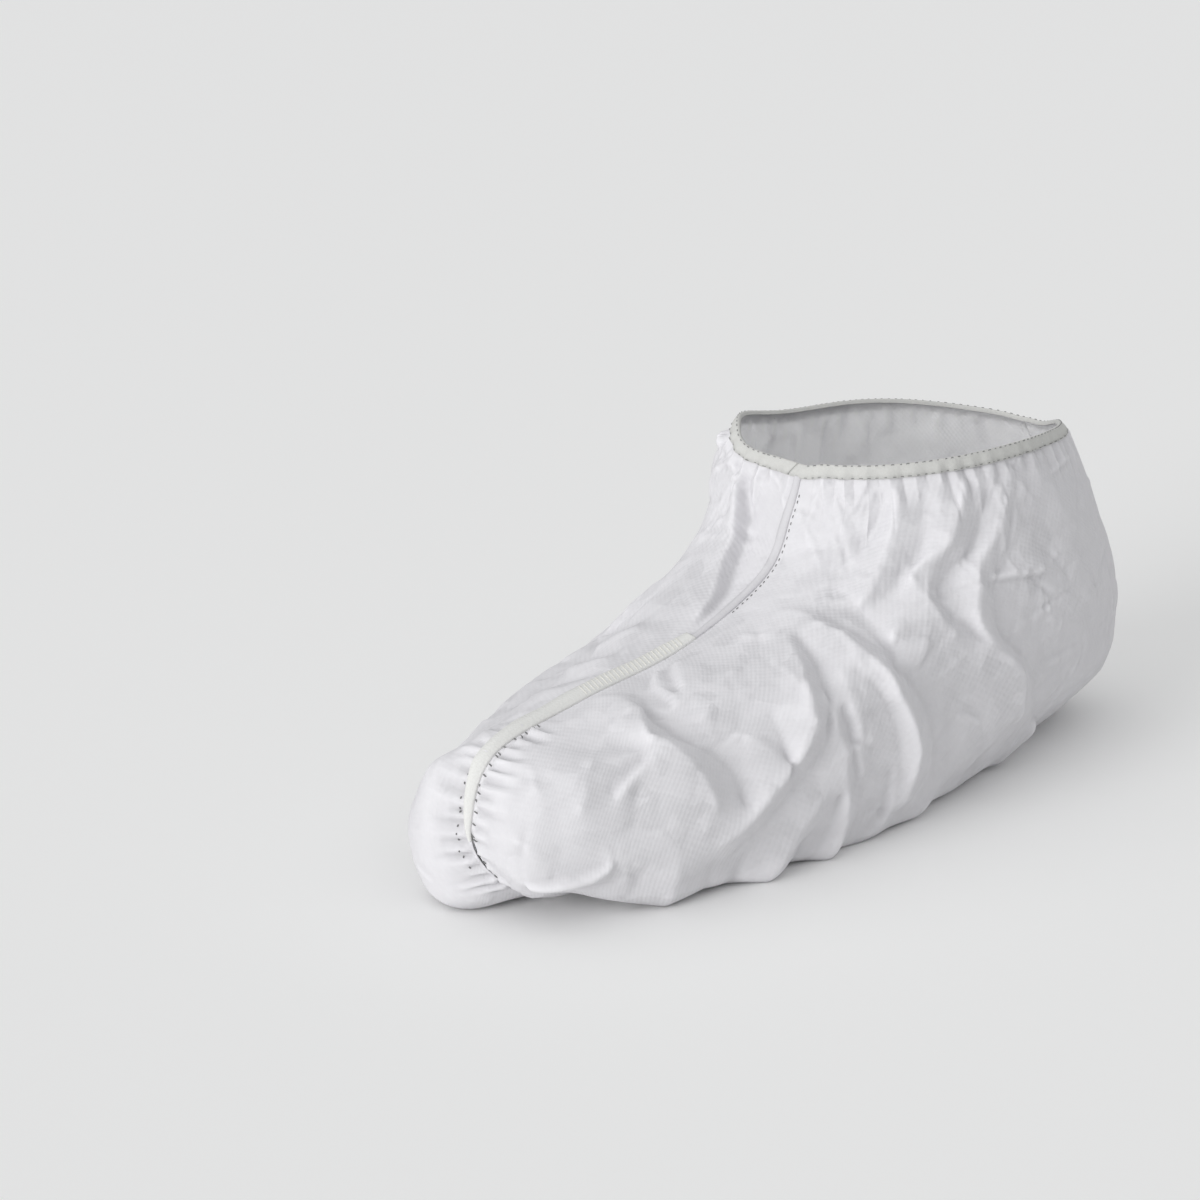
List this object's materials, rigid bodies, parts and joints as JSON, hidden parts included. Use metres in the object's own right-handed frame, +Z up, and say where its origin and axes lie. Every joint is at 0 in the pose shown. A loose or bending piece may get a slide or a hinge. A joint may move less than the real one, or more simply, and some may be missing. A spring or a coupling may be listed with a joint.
{
  "type": "shoe cover",
  "caption": "Slip-on disposable shoe cover of white nonwoven cloth, sewn along the instep and toe, with an elastic bound ankle opening.",
  "frame": {"origin": "centre of the outline seen from above, on the surface that the sole rests on", "axes": "+Z up, +Y towards the heel, +X towards the wearer's left"},
  "size_m": [0.1425, 0.3669, 0.1399],
  "materials": {
    "cloth": "matte embossed nonwoven",
    "tape": "matte folded tape"
  },
  "bodies": {
    "root": {"left_panel": "cloth", "right_panel": "cloth", "top_binding": "tape", "seam_binding": "tape"}
  },
  "joints": []
}
